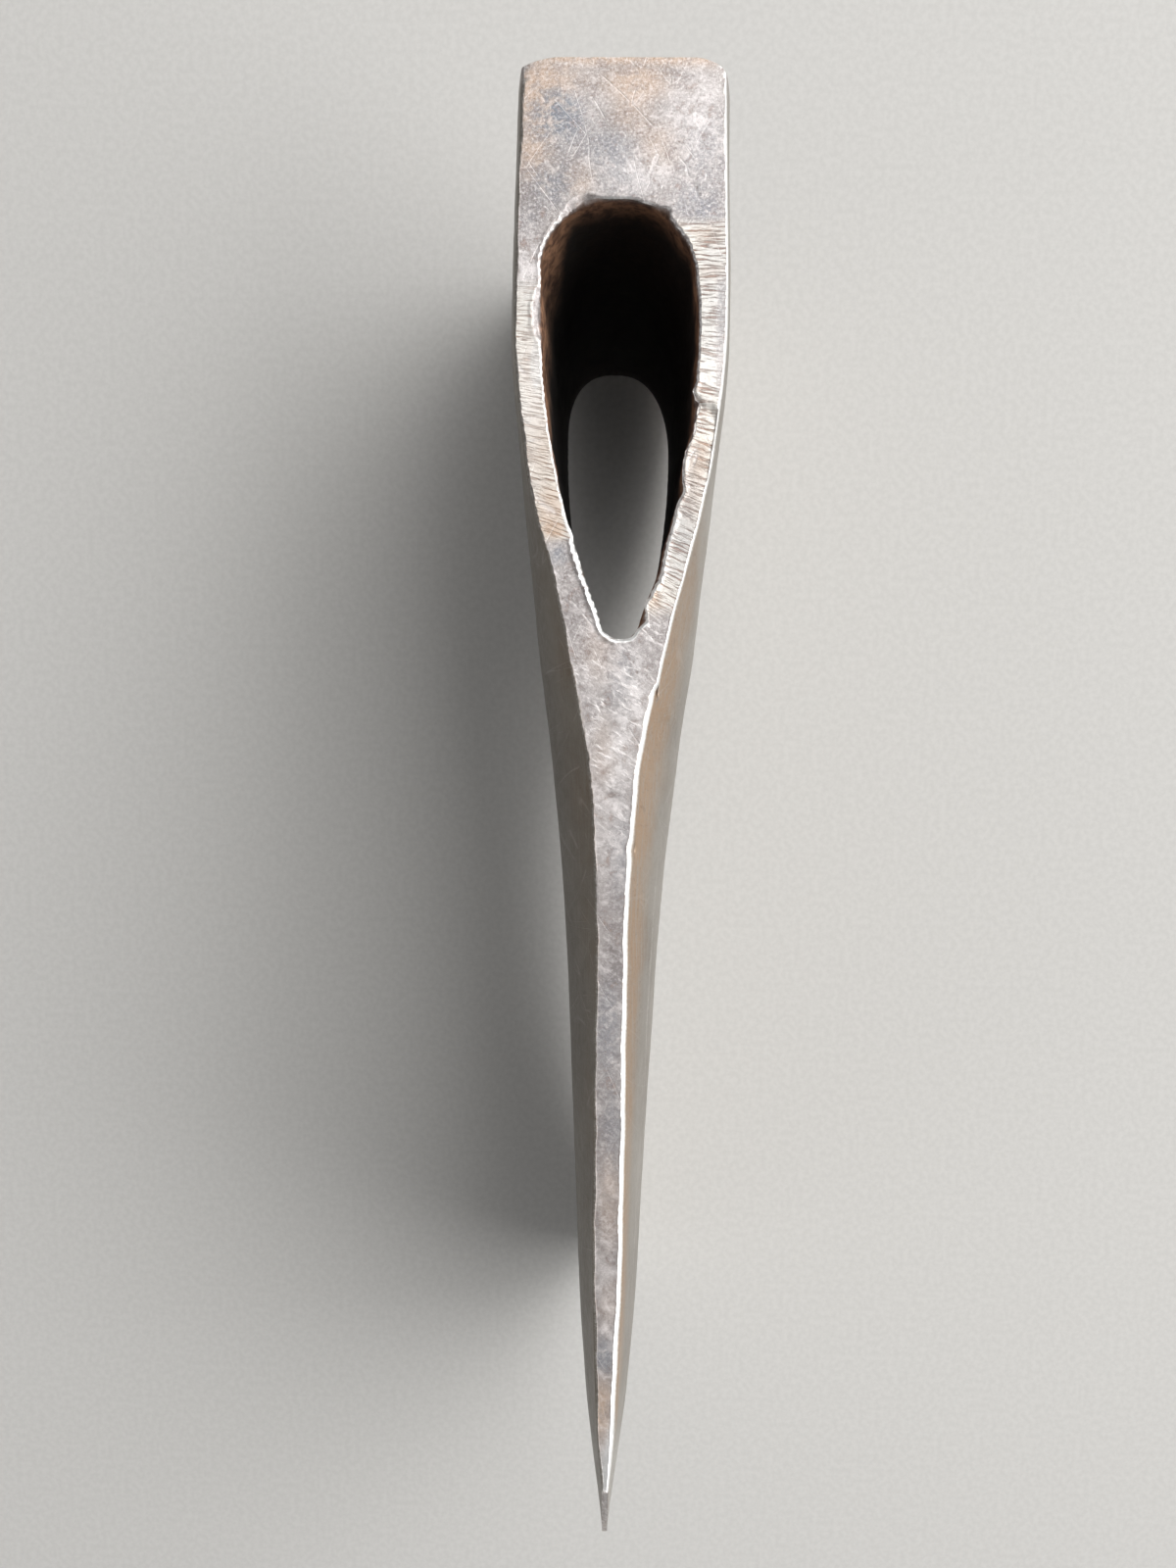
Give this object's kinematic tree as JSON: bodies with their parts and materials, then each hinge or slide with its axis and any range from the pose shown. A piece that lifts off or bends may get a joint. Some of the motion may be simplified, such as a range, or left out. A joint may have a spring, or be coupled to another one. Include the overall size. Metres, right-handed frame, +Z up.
{
  "type": "single bit axe head",
  "caption": "Forged steel axe head with a flared blade, a flat poll and a teardrop eye, standing on the lower corner of its poll and its heel.",
  "frame": {"origin": "on the ground, under the middle of the head's box", "axes": "+X across the head, +Y from the cutting edge to the poll, +Z up; the head rests on the lower corner of its poll and on its heel, so its top face slopes up by 7.5 degrees towards the toe"},
  "size_m": [0.0312, 0.204, 0.1011],
  "materials": {
    "aged_steel": "satin worn steel, mottled brown and grey, file marks beside the eye"
  },
  "bodies": {
    "root": {"axe_head": "aged_steel"}
  },
  "joints": []
}
